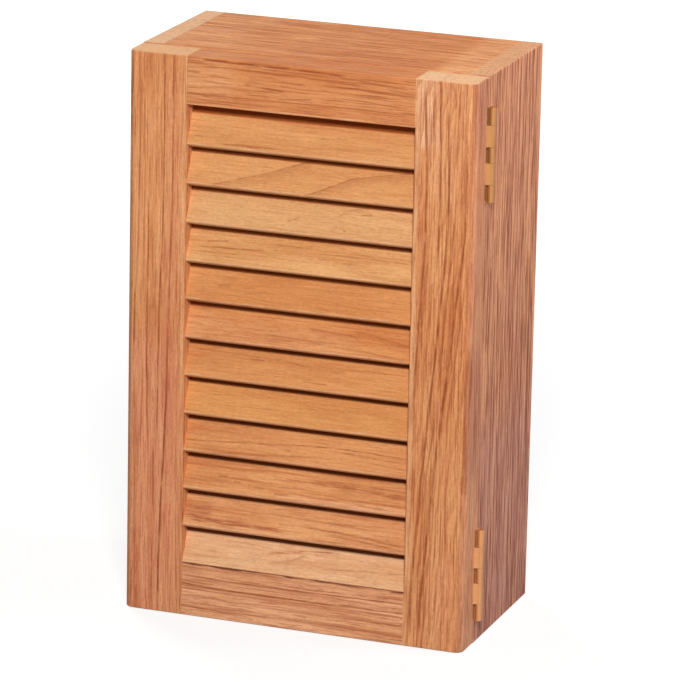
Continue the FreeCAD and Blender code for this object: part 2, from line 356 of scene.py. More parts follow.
# what every teak board shares; a board's own dictionary replaces some of it
# washes lie under the fine grain and marks over it: each is (points, width, show, fade, colour), and its
# points are (along, across) in millimetres from the board's middle; fade and colour may be left out
teak = {
    "grain": "upright", "seed": 0.0,
    # where the pith of the tree lay, how far the rings slope and wander, and how wide they are
    "pithThrough": -120.0, "pithAcross": 60.0, "slope": 0.0, "ringWidth": 3.4, "wander": 9.0,
    "pale": (220, 158, 106), "mid": (205, 134, 84), "ring": (178, 100, 60), "streak": (172, 92, 54),
    "thread": (180, 104, 64), "glint": (236, 182, 132), "tick": (152, 80, 46), "pore": (120, 62, 36),
    "edge": (232, 186, 142), "end": (235, 191, 145),
    # how strongly each of them shows, and the level of its noise from which it does
    "ringShow": 0.3, "streakShow": 0.35, "streakFrom": 0.55, "threadShow": 0.3, "threadFrom": 0.54,
    "glintShow": 0.25, "fibreShow": 0.2, "tickShow": 0.42, "poreShow": 0.25, "edgeShow": 0.4,
    "endShow": 0.75, "vesselShow": 0.35,
    # the side that looks towards the hinges, its lines, and the painted shade on the rounded arris next to it
    "flank": (200, 132, 98), "flankShow": 0.0, "flankLine": (140, 76, 56), "flankLineShow": 0.6,
    "arris": (150, 88, 54), "arrisShow": 0.0,
    "tuckFrom": None,     # on a slat, the height from which the slat above covers it; the painted shade starts there
    "washes": [], "marks": [], "marksOn": "front", "markColor": (150, 76, 42), "markSway": 1.0,
    "rough": 0.56, "roughDip": 0.06, "roughRise": 0.1, "wearPolish": 0.08, "specular": 0.08,
    "bump": 0.3, "bumpDepth": 0.1, "fibreHeight": 0.4, "poreHeight": 0.8,
    "ease": 0.45,         # width of the sanded arris
}

# the levels between which a noise or an angle turns into a mask
woodBands = {
    "cloud": (0.32, 0.68), "ringPatches": (0.3, 0.65, 0.55, 1.0), "glint": (0.46, 0.3),
    "fibre": (0.3, 0.7), "thread": (0.3, 0.7), "softness": 0.13, "flank": (0.45, 0.85),
    "arrisStart": (0.2, 0.6), "arrisStop": (0.99, 0.8), "outwards": (0.2, 0.6),
    "tuckBelow": 0.7, "tuckAbove": 0.5,
}
seedSteps = (913.0, 217.0, 391.0)     # how far a board's seed moves it through the noise


def drawMarks(tree, color, board, marks, vector):
    along, through, across = splitVector(tree, vector)
    place = through if board["marksOn"] == "side" else across
    for points, width, show, *more in marks:
        share, off = traceMark(tree, along, place, points)
        line = useGroup(
            tree, markGroup, Vector=vector, Share=share, Off=off, Width=width, Sway=board["markSway"],
            Fade=more[0] if more else 0.0)
        color = lay(tree, color, line["Mark"], show, more[1] if len(more) > 1 else board["markColor"])
    return color


def paintFlankToneAndShade(tree, color, board, thread, normal):
    # the hinge side's own tone and lines, and painted shade on the rounding of the door's two front arrises;
    # on the left stile this side faces the opening, and its paler tone there is painted light
    sideways = lookTowards(tree, normal, (1.0, 0.0, 0.0))
    flank = remap(tree, sideways, *woodBands["flank"])
    color = lay(tree, color, flank, board["flankShow"], board["flank"])
    lines = calc(tree, "MULTIPLY", flank, thread)
    color = lay(tree, color, lines, board["flankLineShow"], board["flankLine"])
    rounding = calc(tree, "ABSOLUTE", sideways)
    start = remap(tree, rounding, *woodBands["arrisStart"])
    stop = remap(tree, rounding, *woodBands["arrisStop"])
    return lay(tree, color, calc(tree, "MULTIPLY", start, stop), board["arrisShow"], board["arris"])


def paintTuckShade(tree, color, board, across, normal):
    # painted shade: a deep red-brown where the slat above covers this one and shades it
    low, high = board["tuckFrom"] - woodBands["tuckBelow"], board["tuckFrom"] + woodBands["tuckAbove"]
    outwards = remap(tree, lookTowards(tree, normal, (0.0, -1.0, 0.0)), *woodBands["outwards"])
    tuckShadeMask = calc(tree, "MULTIPLY", remap(tree, across, low, high), outwards)
    return lay(tree, color, tuckShadeMask, board["tuckShow"], board["tuck"])


def makeTeak(name, board):
    material, tree, shader = newMaterial(name)
    vector, normal = placeInMillimetres(tree, grainTurns[board["grain"]])
    centred = calcVector(tree, "SUBTRACT", vector, board["middle"])
    seeded = calcVector(tree, "ADD", centred, [board["seed"] * step for step in seedSteps])
    fibre = useGroup(tree, fibreGroup, Vector=seeded)
    ring = useGroup(
        tree, ringGroup, Vector=centred, PithThrough=board["pithThrough"], PithAcross=board["pithAcross"],
        Slope=board["slope"], RingWidth=board["ringWidth"], Wander=board["wander"])
    edge = useGroup(tree, edgeGroup, Vector=seeded)
    facing = calc(tree, "ABSOLUTE", lookTowards(tree, normal, grainRuns[board["grain"]]))
    end = useGroup(tree, endGroup, Vector=seeded, Facing=facing)
    streak, thread = (
        remap(tree, fibre[label], board[start], board[start] + woodBands["softness"])
        for label, start in (("Streak", "streakFrom"), ("Thread", "threadFrom")))

    cloud = remap(tree, fibre["Cloud"], *woodBands["cloud"])
    color = blendColor(tree, cloud, tone(*board["pale"]), tone(*board["mid"]))
    color = drawMarks(tree, color, board, board["washes"], centred)
    if board["flankShow"] > 0.0:
        color = paintFlankToneAndShade(tree, color, board, thread, normal)
    rings = calc(tree, "MULTIPLY", ring["Ring"], remap(tree, fibre["Cloud"], *woodBands["ringPatches"]))
    color = lay(tree, color, rings, board["ringShow"], board["ring"])
    color = lay(tree, color, streak, board["streakShow"], board["streak"])
    color = lay(tree, color, thread, board["threadShow"], board["thread"])
    glint = remap(tree, fibre["Thread"], *woodBands["glint"])
    color = lay(tree, color, glint, board["glintShow"], board["glint"])
    color = lay(tree, color, fibre["Ticks"], board["tickShow"], board["tick"])
    color = drawMarks(tree, color, board, board["marks"], centred)
    # painted shade where the slat above covers this one
    if board["tuckFrom"] is not None:
        color = paintTuckShade(tree, color, board, splitVector(tree, centred)[2], normal)
    low, high = 1.0 - board["fibreShow"], 1.0 + board["fibreShow"]
    shade = remap(tree, fibre["Fibre"], *woodBands["fibre"], low, high, smooth=False)
    color = blendColor(tree, 1.0, color, shade, mode="MULTIPLY")
    color = lay(tree, color, fibre["Pores"], board["poreShow"], board["pore"])
    color = lay(tree, color, end["End"], board["endShow"], board["end"])
    vessels = calc(tree, "MULTIPLY", end["End"], end["Vessels"])
    color = lay(tree, color, vessels, board["vesselShow"], board["streak"])
    color = lay(tree, color, edge["Wear"], board["edgeShow"], board["edge"])
    feed(tree, shader.inputs["Base Color"], color)

    low, high = board["rough"] - board["roughDip"], board["rough"] + board["roughRise"]
    rough = remap(tree, fibre["Thread"], *woodBands["thread"], low, high, smooth=False)
    polish = calc(tree, "MULTIPLY", edge["Wear"], board["wearPolish"])
    feed(tree, shader.inputs["Roughness"], calc(tree, "SUBTRACT", rough, polish))
    shader.inputs["Specular IOR Level"].default_value = board["specular"]
    fibreHeight = calc(tree, "MULTIPLY", fibre["Fibre"], board["fibreHeight"])
    poreHeight = calc(tree, "MULTIPLY", fibre["Pores"], board["poreHeight"])
    height = calc(tree, "SUBTRACT", fibreHeight, poreHeight)
    addBump(tree, shader, height, board["bump"], board["bumpDepth"])
    return material


def dress(nodeName, material):
    for slot in cadNodes[nodeName].material_slots:
        slot.material = material


sanding = {"weld": 0.02, "segments": 2, "angle": 40.0}     # millimetres and degrees


def easeEdges(nodeName, width):
    # a sanded arris on every sharp edge of a board
    weld = cadNodes[nodeName].modifiers.new("weld", "WELD")
    weld.merge_threshold = sanding["weld"] * mm
    ease = cadNodes[nodeName].modifiers.new("easedEdges", "BEVEL")
    ease.width = width * mm
    ease.segments = sanding["segments"]
    ease.limit_method = "ANGLE"
    ease.angle_limit = math.radians(sanding["angle"])
    ease.use_clamp_overlap = True


def boardMiddle(nodeName, turnName):
    # the middle of a CAD board on the millimetre axes of its own grain
    low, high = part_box(nodeName)
    middle = (Vector(low) + Vector(high)) / 2.0 / mm
    aboutX, aboutY, _ = grainTurns[turnName]
    return tuple(Matrix.Rotation(aboutX, 3, "X") @ Matrix.Rotation(aboutY, 3, "Y") @ middle)


def makeBoard(nodeName, own):
    board = {**teak, **own}
    board.setdefault("middle", boardMiddle(nodeName, board["grain"]))
    dress(nodeName, makeTeak(nodeName + "Wood", board))
    if board["ease"] > 0.0:
        easeEdges(nodeName, board["ease"])


# the door's frame
leftStile = {
    "seed": 1.0, "pithThrough": -300.0, "pithAcross": 150.0, "ringWidth": 4.6, "wander": 5.0,
    "pale": (226, 158, 106), "mid": (212, 136, 86), "streak": (184, 98, 62), "thread": (160, 82, 48),
    "glint": (242, 188, 142), "end": (228, 177, 124),
    "ringShow": 0.4, "streakShow": 0.5, "threadShow": 0.48, "glintShow": 0.3, "tickShow": 0.34,
    # the paler tone of the side that faces the opening is painted light; the arris value sets painted shade
    # on the rounded arrises
    "flank": (242, 168, 112), "flankShow": 0.9, "flankLine": (196, 126, 82), "arrisShow": 0.3,
    "markSway": 0.5,
    "washes": [
        (((-20, -4.0), (290, -2.0)), 40.0, 0.8, 0.0, (224, 148, 114)),
        (((-210, 0.0), (-20, 0.0)), 40.0, 0.3, 0.0, (228, 156, 104)),
    ],
    "marks": [
        (((70, -0.5), (240, -2.0)), 3.4, 0.4, 0.0, (192, 98, 68)),
        (((-80, 7.0), (60, 9.0)), 7.0, 0.45, 0.0, (192, 102, 72)),
        (((-200, 13.0), (200, 11.0)), 6.0, 0.4, 0.0, (204, 112, 84)),
        # a pale line along the arris beside the opening: painted highlight
        (((-200, 19.6), (60, 19.4)), 1.7, 0.6, 0.0, (230, 172, 124)),
        (((-230, 5.0), (-85, 5.0), (-10, 2.6), (100, 2.2)), 0.9, 0.9),
        (((-230, 11.2), (-120, 11.8), (10, 9.2), (65, 7.8), (120, 5.2), (230, 3.4)), 1.3, 0.65),
        (((20, 8.4), (65, 7.8), (120, 5.2), (240, 3.4)), 1.1, 0.75, 0.0, (142, 66, 42)),
        (((-100, -6.2), (-66, -5.5), (-35, -6.2)), 0.9, 0.85),
        (((-40, -6.0), (-10, -6.2), (64, -5.6)), 0.9, 0.85),
        (((-200, -12.8), (-60, -13.4), (-20, -15.4), (40, -15.4)), 0.9, 0.55),
        (((-32, -15.4), (8, -15.8)), 1.0, 0.9), (((20, -15.4), (130, -14.4), (230, -12.4)), 1.0, 0.6),
        (((135, -13.8), (230, -12.4)), 3.6, 0.6, 0.0, (180, 88, 58)), (((80, -0.6), (125, -0.6)), 0.9, 0.7),
        (((145, -0.6), (230, -2.2)), 0.9, 0.6), (((-230, -17.6), (-130, -17.8)), 0.9, 0.4),
        (((145, 20.6), (220, 20.6)), 1.4, 0.5), (((165, 13.0), (230, 13.2)), 1.1, 0.4),
    ],
}
makeBoard("door_left_stile", leftStile)

rightStile = {
    "seed": 2.0, "pithThrough": -60.0, "pithAcross": -60.0, "slope": -0.1, "ringWidth": 4.0, "wander": 14.0,
    "pale": (228, 160, 107), "mid": (212, 134, 83), "ring": (166, 84, 50), "streak": (164, 80, 46),
    "thread": (164, 82, 46), "glint": (236, 182, 134),
    "ringShow": 0.6, "streakShow": 0.6, "threadShow": 0.6, "threadFrom": 0.52,
    # the arris value sets painted shade on the rounded front arrises
    "flank": (196, 134, 106), "flankShow": 0.9, "arrisShow": 0.6, "markSway": 0.5,
    "washes": [
        (((-290, 0.0), (-100, 0.0)), 40.0, 0.4, 0.0, (236, 176, 128)),
        (((-215, -14.0), (-148, -14.0)), 14.0, 0.6, 0.0, (242, 194, 154)),
        (((120, 6.0), (300, 6.0)), 22.0, 0.45, 0.0, (238, 166, 122)),
    ],
    "marks": [
        (((-205, -19.2), (205, -19.4)), 2.0, 0.7, 0.0, (230, 174, 128)),
        (((72, 18.8), (87, 18.4)), 1.2, 0.95),
        (((-200, -14.8), (-88, -12.4), (-38, -15.0), (40, -18.6)), 1.4, 0.85),
        (((-215, -4.4), (-120, -2.6), (-60, -3.4)), 1.4, 0.85),
        (((-190, 1.2), (-105, 3.4), (-36, -1.0), (88, -11.4), (230, -20.5)), 1.5, 0.95),
        (((-130, 9.2), (-88, 7.0), (20, -1.0)), 1.1, 0.75),
        (((-180, 14.2), (-112, 16.2), (-36, 9.6), (88, -3.2), (230, -13.0)), 1.6, 0.95),
        (((-80, 19.0), (-20, 12.6), (50, 5.0)), 1.1, 0.65),
        (((30, -1.6), (100, -9.0), (180, -12.0)), 1.0, 0.5),
        (((130, -4.0), (164, -5.6), (210, -8.6)), 1.0, 0.6),
        (((-100, -7.0), (-30, -9.0), (60, -13.0)), 0.9, 0.4), (((50, 19.4), (230, 19.8)), 1.2, 0.35),
        (((60, 21.0), (290, 21.0)), 4.4, 0.6, 0.0, (244, 174, 130)),
        (((-160, 21.0), (0, 21.0)), 4.0, 0.45, 0.0, (232, 162, 116)), (((100, 8.0), (220, 5.0)), 0.9, 0.35),
        (((-205, 9.0), (-140, 10.0)), 0.9, 0.35),
    ],
}
makeBoard("door_right_stile", rightStile)

topRail = {
    "grain": "level", "seed": 3.0, "pithThrough": -160.0, "pithAcross": -40.0, "slope": -0.02,
    "ringWidth": 3.2, "wander": 10.0,
    "pale": (217, 143, 90), "mid": (202, 124, 74), "thread": (160, 82, 44),
    "ringShow": 0.12, "streakShow": 0.5, "threadShow": 0.6, "threadFrom": 0.52, "glintShow": 0.12,
    "fibreShow": 0.14, "edgeShow": 0.15,
    "rough": 0.64,
    "washes": [
        (((-180, 0.0), (-40, 0.0)), 24.0, 0.5, 0.0, (234, 174, 126)),
        (((20, -4.0), (130, -4.0)), 20.0, 0.35, 0.0, (230, 162, 110)),
    ],
    "marks": [
        (((-120, 17.8), (120, 17.8)), 2.4, 0.35, 0.0, (198, 120, 64)),
        (((-72, 15.4), (-40, 15.2)), 1.3, 0.95), (((-46, 15.6), (-8, 14.6)), 1.2, 0.95),
        (((-18, 15.2), (34, 13.2)), 1.4, 0.8), (((-46, 13.6), (20, 11.6)), 0.8, 0.6),
        (((-42, 1.2), (-10, -1.2)), 1.3, 0.75), (((-18, -7.4), (10, -5.0)), 0.9, 0.6),
        (((20, 6.0), (80, 3.4)), 1.0, 0.6), (((26, -2.0), (80, -4.5)), 0.9, 0.6),
        (((0, 9.0), (64, 9.4)), 0.9, 0.6), (((24, 12.0), (80, 8.6)), 1.0, 0.6),
        # a pale line along the rail's lower edge: painted highlight
        (((-100, -16.4), (100, -16.4)), 1.7, 0.5, 0.0, (242, 184, 136)),
        (((-80, -12.0), (-20, -13.5)), 0.8, 0.3), (((34, -8.0), (80, -9.0)), 0.8, 0.5),
    ],
}
makeBoard("door_top_rail", topRail)

bottomRail = {
    "grain": "level", "seed": 4.0, "pithThrough": -240.0, "pithAcross": -110.0, "slope": -0.01,
    "ringWidth": 3.1, "wander": 5.0,
    "pale": (238, 172, 128), "mid": (224, 154, 108), "ring": (158, 78, 48), "streak": (184, 104, 70),
    "thread": (168, 88, 56),
    "ringShow": 0.6, "threadShow": 0.55, "threadFrom": 0.52,
    "markSway": 0.7,
    "washes": [
        (((-140, -4.0), (-10, -4.0)), 30.0, 0.5, 0.0, (250, 188, 142)),
        (((-120, -12.0), (60, -12.0)), 12.0, 0.4, 0.0, (248, 182, 136)),
    ],
    "marks": [
        # a dark line along the rail's top edge, under the lowest slat: painted shade in the joint
        (((-120, 18.9), (120, 18.9)), 1.3, 0.95, 0.0, (104, 46, 22)),
        (((-90, 10.8), (-20, 9.7), (100, 11.4)), 1.0, 0.75),
        (((-110, 5.2), (-10, 2.9), (110, 5.2)), 1.1, 0.8),
        (((-30, -5.4), (20, -5.8), (100, -3.4)), 0.9, 0.45),
        (((-110, -11.8), (-30, -12.4), (60, -11.6)), 1.1, 0.5), (((-110, 1.0), (-60, 1.0)), 0.9, 0.5),
        (((40, -15.4), (110, -15.6)), 1.0, 0.5),
    ],
}
makeBoard("door_bottom_rail", bottomRail)
print("door frame done")

# the slats, from the top down; across is measured up from a slat's lower front edge
slat = {
    "grain": "slat", "pithThrough": -60.0, "ringWidth": 5.0, "wander": 10.0,
    "ringShow": 0.12, "streakShow": 0.22, "threadShow": 0.28, "glintShow": 0.12, "tickShow": 0.22,
    "edgeShow": 0.1, "tuckFrom": 22.9, "tuckShow": 0.9, "ease": 0.3,
}
# painted shade on each slat under the one above: redder on the upper slats, darker on the lower ones
slatTuckShades = {"upper": (158, 78, 28), "lower": (136, 64, 20), "upperCount": 6}
slatSeed = 10.0
slatEdgeHighlight = (((-120, 0.7), (120, 0.7)), 1.3, 0.4, 0.0, (236, 186, 150))     # a painted highlight along the lower front edge
slatLooks = [
    {
        "pale": (214, 154, 98), "mid": (203, 138, 85),
        "marks": [
            (((-60, 3.0), (-14, 3.6)), 0.9, 0.6), (((-40, 2.6), (-30, 2.6)), 0.9, 0.8),
            (((-78, 6.6), (-71, 6.8)), 0.7, 0.6),
        ],
    },
    {
        "pale": (215, 154, 98), "mid": (205, 141, 87),
        "marks": [
            (((-69, -0.5), (-24, 13.5)), 0.9, 0.55, 9.0), (((-30, 11.5), (8, 25.5)), 1.0, 0.7, 10.0),
            (((0, -1.5), (38, 16.0)), 1.0, 0.65, 9.0), (((30, 14.0), (84, 24.5)), 1.0, 0.6, 9.0),
        ],
    },
    {
        "pale": (216, 162, 110), "mid": (205, 146, 95),
        "threadShow": 0.12,
        "marks": [
            (((26, 15.5), (36, 21.5)), 0.8, 0.4, 3.0), (((35, 21.0), (48, 24.0)), 0.8, 0.4, 3.0),
            (((42, 18.0), (51, 18.2)), 0.9, 0.6), (((-10, 8.5), (-1, 11.5)), 1.0, 0.4),
            (((-35, 8.0), (-32.5, 8.0)), 0.8, 0.7), (((31, 6.0), (33.5, 6.0)), 0.7, 0.8),
        ],
    },
    {
        "pale": (220, 164, 108), "mid": (203, 139, 84),
        "marks": [
            (((-70, 15.0), (-52, 17.0)), 0.9, 0.6), (((-78, 11.0), (-24, 13.0)), 0.9, 0.6),
            (((-22, 18.0), (12, 18.0)), 0.8, 0.5), (((10, 15.5), (84, 14.5)), 0.8, 0.5),
            (((-76, 7.5), (-40, 8.5)), 0.8, 0.4),
        ],
    },
    {
        "pale": (213, 147, 90), "mid": (203, 131, 76),
        "marks": [
            (((-60, 12.0), (-50, 13.0)), 2.0, 0.3), (((-54, 17.0), (-46, 18.0)), 2.0, 0.25),
            (((-40, 20.0), (60, 22.0)), 4.0, 0.18),
        ],
    },
    {
        "pale": (215, 146, 90), "mid": (198, 122, 68),
        "streakShow": 0.45,
        "washes": [
            (((-150, 9.0), (50, 7.0)), 14.0, 0.42, 0.0, (230, 172, 124)),
        ],
        "marks": [
            (((-30, 9.0), (30, 7.5)), 0.9, 0.4), (((4, 16.5), (48, 13.5)), 1.0, 0.5, 4.0),
            (((36, 18.5), (84, 11.0)), 1.0, 0.6, 4.0), (((20, 6.0), (84, 2.0)), 0.9, 0.5, 2.0),
        ],
    },
    {
        "pale": (213, 145, 88), "mid": (200, 130, 77),
        "marks": [
            (((-37, 16.5), (-25, 17.0)), 1.0, 0.6), (((-12, 18.0), (5, 16.0)), 0.8, 0.6),
            (((3, 6.0), (24, 5.0)), 0.8, 0.6), (((30, 17.0), (82, 17.5)), 0.8, 0.4),
            (((-80, 20.0), (-10, 18.5)), 0.7, 0.35),
        ],
    },
    {
        "pale": (213, 147, 87), "mid": (204, 135, 78),
        "threadShow": 0.2,
        "marks": [
            (((-60, 9.0), (20, 10.0)), 0.7, 0.25), (((10, 15.0), (80, 13.0)), 0.7, 0.25),
        ],
    },
    {
        "pale": (217, 150, 95), "mid": (201, 129, 79),
        "marks": [
            (((-86, 7.0), (-30, 11.5)), 1.0, 0.6), (((-36, 11.0), (30, 15.5)), 1.0, 0.6),
            (((25, 15.0), (84, 13.0)), 1.0, 0.65), (((-64, 1.0), (18, 7.0)), 1.6, 0.45),
            (((30, 12.0), (84, 9.5)), 1.0, 0.5), (((40, 8.0), (84, 6.0)), 0.9, 0.45),
        ],
    },
    {
        "pale": (220, 154, 99), "mid": (199, 127, 77),
        "streakShow": 0.6, "threadShow": 0.55,
        "washes": [
            (((20, 13.0), (120, 13.0)), 9.0, 0.5, 0.0, (176, 100, 58)),
            (((-20, 2.0), (120, 2.0)), 5.0, 0.5, 0.0, (236, 178, 136)),
        ],
        "marks": [
            (((5, 15.5), (84, 12.5)), 2.6, 0.5), (((20, 18.0), (84, 16.0)), 1.2, 0.5),
            (((-46, 9.0), (-40, 9.0)), 1.3, 0.6), (((-58, 11.5), (-50, 12.0)), 1.2, 0.5),
            (((-30, 7.0), (-22, 7.0)), 1.4, 0.5), (((-16, 4.0), (-4, 4.5)), 1.3, 0.7),
        ],
    },
    {
        "pale": (224, 160, 108), "mid": (204, 132, 84),
        "streakShow": 0.6, "threadShow": 0.5,
        "washes": [
            (((-100, 11.0), (-60, 11.0)), 12.0, 0.6, 0.0, (160, 92, 58)),
        ],
        "marks": [
            (((-86, 7.5), (-2, 4.5)), 2.4, 0.7, 0.0, (156, 70, 44)), (((-80, 4.5), (-30, 5.0)), 1.2, 0.7),
            (((2, 11.0), (84, 5.0)), 1.6, 0.6), (((20, 7.0), (84, 2.0)), 1.2, 0.6),
            (((-20, 16.0), (50, 14.5)), 0.9, 0.35),
        ],
    },
    {
        "pale": (232, 182, 138), "mid": (218, 160, 114),
        "threadShow": 0.2,
        "marks": [
            (((-22, 14.5), (8, 18.5)), 1.5, 0.7, 0.0, (176, 98, 56)),
            (((-16, 19.5), (36, 19.5)), 5.0, 0.4, 0.0, (196, 128, 86)),
            (((-20, 8.0), (-4, 11.0), (6, 15.5), (10, 18.0)), 1.8, 0.3, 4.0),
            (((0, 18.5), (28, 21.0)), 1.1, 0.6), (((18, 8.0), (84, 12.5)), 0.8, 0.4),
            # the last mark is painted shade along the slat's foot, where it meets the bottom rail
            (((-80, 6.0), (-30, 8.0)), 0.8, 0.3), (((-120, 0.0), (120, 0.0)), 0.8, 0.7, 0.0, (130, 66, 34)),
        ],
    },
]
for number, look in enumerate(slatLooks, start=1):
    foot = louvre["lowest"] + louvre["pitch"] * (louvre["count"] - number)
    turned = Matrix.Rotation(math.radians(louvre["tilt"]), 3, "X") @ Vector((0.0, louvre["front"], foot))
    makeBoard("louvre_slat_%02d" % number, {
        **slat, **look, "seed": slatSeed + number, "middle": tuple(turned),
        "tuck": slatTuckShades["upper" if number <= slatTuckShades["upperCount"] else "lower"],
        "marks": look["marks"] + [slatEdgeHighlight]})
print("slats done")

# the carcass
rightSide = {
    "seed": 32.0, "pithThrough": -420.0, "pithAcross": 160.0, "ringWidth": 6.2, "wander": 7.0,
    "pale": (236, 165, 120), "mid": (214, 143, 108), "ring": (130, 64, 46), "streak": (160, 90, 66),
    "thread": (132, 68, 50), "glint": (240, 178, 146), "end": (216, 164, 114),
    "ringShow": 0.85, "threadShow": 0.85, "threadFrom": 0.5, "glintShow": 0.45, "endShow": 0.65,
    "marksOn": "side", "markColor": (124, 66, 52),
    "washes": [
        # painted shade: the lower part of the side turns darker and mauve
        (((20, 0.0), (460, 0.0)), 400.0, 0.7, 0.0, (204, 144, 134)),
    ],
    "marks": [
        (((-230, 47.0), (0, 46.0), (230, 47.0)), 1.8, 0.7),
        (((-90, 13.0), (-24, 17.0), (60, 28.0)), 1.4, 0.6),
        (((50, 10.0), (130, 18.0), (220, 24.0)), 1.3, 0.5), (((100, -43.0), (230, -46.0)), 1.4, 0.55),
        (((100, -28.0), (230, -22.0)), 1.5, 0.65),
    ],
}
makeBoard("right_side_panel", rightSide)

leftSide = {
    "seed": 31.0, "pithThrough": 380.0, "pithAcross": -120.0, "ringWidth": 5.4, "wander": 7.0,
    "pale": (214, 150, 112), "mid": (198, 130, 94), "ring": (150, 82, 56), "end": (236, 188, 140),
    "ringShow": 0.6, "threadShow": 0.6,
}
makeBoard("left_side_panel", leftSide)

topPanel = {
    "grain": "level", "seed": 33.0, "pithThrough": -60.0, "pithAcross": -120.0, "slope": 0.03,
    "ringWidth": 5.0, "wander": 12.0,
    "pale": (226, 154, 96), "mid": (206, 128, 74), "thread": (160, 82, 44),
    "ringShow": 0.35, "streakShow": 0.45, "threadShow": 0.6, "threadFrom": 0.52, "edgeShow": 0.2,
    "rough": 0.7,
    "washes": [
        (((-30, 7.0), (92, 7.0)), 30.0, 0.55, 0.0, (194, 118, 70)),
        (((80, 7.0), (170, 7.0)), 30.0, 0.5, 0.0, (240, 182, 132)),
        (((-160, 7.0), (-60, 7.0)), 30.0, 0.3, 0.0, (238, 174, 126)),
    ],
}
makeBoard("top_panel", topPanel)

bottomPanel = {"grain": "level", "seed": 34.0, "pithThrough": -90.0, "pithAcross": 80.0, "ringWidth": 4.4}
makeBoard("bottom_panel", bottomPanel)
backPanel = {
    "seed": 35.0, "pithThrough": -14.0, "pithAcross": 20.0, "slope": 0.02, "ringWidth": 3.0, "wander": 18.0,
    "ease": 0.0,
}
makeBoard("back_panel", backPanel)
shelf = {"grain": "level", "seed": 36.0, "pithThrough": -30.0}
makeBoard("shelf", shelf)
upperHangingRail = {"grain": "level", "seed": 37.0, "ease": 0.0}
makeBoard("upper_hanging_rail", upperHangingRail)
lowerHangingRail = {"grain": "level", "seed": 38.0, "ease": 0.0}
makeBoard("lower_hanging_rail", lowerHangingRail)
print("carcass done")

# the hinges' slotted screws, in millimetres and degrees; a head's top lies a little under the leaf's face
hingeScrew = {
    "x": 119.0, "levels": (29.0, 71.0, 325.5, 367.5), "caseFace": -57.5, "doorFace": -58.3, "sunk": 0.15,
    "headRadius": 2.72, "headHeight": 1.4, "shankRadius": 1.4, "length": 14.6,
    "tipRadius": 0.25, "tipLength": 2.0, "slotWidth": 0.75, "slotDepth": 0.65,
    "segments": 40, "sharpAngle": 30.0,
    "rim": ((0.25, 0.0), (0.08, 0.04), (0.0, 0.14)),     # how far in from the head's edge, and how far down
    "turns": (24.0, 68.0, -12.0, 100.0, 50.0, -38.0, 8.0, 82.0),     # each slot is left at its own angle
}

# metal effects: vectors are in millimetres, drawn along x
metalLooks = {
    "lines": {"size": (14.0, 0.16, 0.16), "detail": 3.0, "roughness": 0.6},
    "tarnish": {"size": (16.0, 7.0, 7.0), "detail": 3.0},
    "nicks": {"size": (1.6, 0.2, 0.2), "detail": 1.0, "distortion": 0.6, "band": (0.66, 0.76)},
}


def makeMetalGroup():
    # fine drawn lines, cloudy tarnish and a few scratches
    tree, given, out = newGroup("drawnMetal", {"Vector": None}, ["Lines", "Tarnish", "Scratch"])
    feed(tree, out["Lines"], noiseAt(tree, given["Vector"], metalLooks["lines"]))
    feed(tree, out["Tarnish"], noiseAt(tree, given["Vector"], metalLooks["tarnish"]))
    feed(tree, out["Scratch"], noiseMask(tree, given["Vector"], metalLooks["nicks"]))
    return tree


metalGroup = makeMetalGroup()

# what every metal shares
metal = {
    "metallic": 1.0, "edgeShow": 0.7, "edgeReach": 0.4, "lineBand": (0.3, 0.7), "lineShade": (0.93, 1.05),
    "tarnishBand": (0.42, 0.66), "roughDip": 0.05, "roughRise": 0.08, "dullRough": 0.25,
    "bump": 0.25, "bumpDepth": 0.03,
    # painted shade on the side of a metal that looks towards shadeFrom, as strong as shadeShow
    "shadeShow": 0.0, "shadeFrom": (0.8, 0.6, 0.0), "shadeBand": (0.0, 0.9),
    "dirt": None, "dirtBand": (0.62, 0.85), "dirtShow": 0.85,
}

# each metal's clean colour, the colour it dulls to, its edges, how dull and how rough it is, and its pieces
metals = {
    "hingeBrass": {
        "clean": (212, 150, 98), "dull": (170, 112, 68), "edge": (228, 178, 124),
        "dullShow": 0.25, "shadeShow": 0.5, "metallic": 0.6, "rough": 0.45,
        "nodes": ["lower_hinge_case_leaf", "lower_hinge_door_leaf"]},
    # the upper hinge's brass is a darker copy of the lower one's: painted shade, as more lamp light falls on
    # it
    "upperBrassPaintedShade": {
        "clean": (186, 131, 78), "dull": (152, 98, 56), "edge": (212, 160, 104),
        "dullShow": 0.25, "shadeShow": 0.5, "metallic": 0.6, "rough": 0.45,
        "nodes": ["upper_hinge_case_leaf", "upper_hinge_door_leaf"]},
    "pinBrass": {
        "clean": (204, 148, 94), "dull": (156, 104, 60), "edge": (232, 188, 130),
        "dullShow": 0.3, "rough": 0.34, "nodes": ["upper_hinge_pin", "lower_hinge_pin"]},
    "screwBrass": {
        "clean": (190, 132, 78), "dull": (140, 90, 50), "edge": (226, 178, 120), "dirt": (64, 38, 18),
        "dullShow": 0.5, "rough": 0.38, "nodes": ["hinge_case_screws", "hinge_door_screws"]},
    "magnetNickel": {
        "clean": (200, 198, 192), "dull": (150, 146, 138), "edge": (226, 224, 220),
        "dullShow": 0.4, "rough": 0.28, "nodes": ["catch_magnet"]},
    "discSteel": {
        "clean": (176, 178, 180), "dull": (126, 122, 116), "edge": (206, 208, 210),
        "dullShow": 0.5, "rough": 0.4, "nodes": ["strike_disc"]},
}


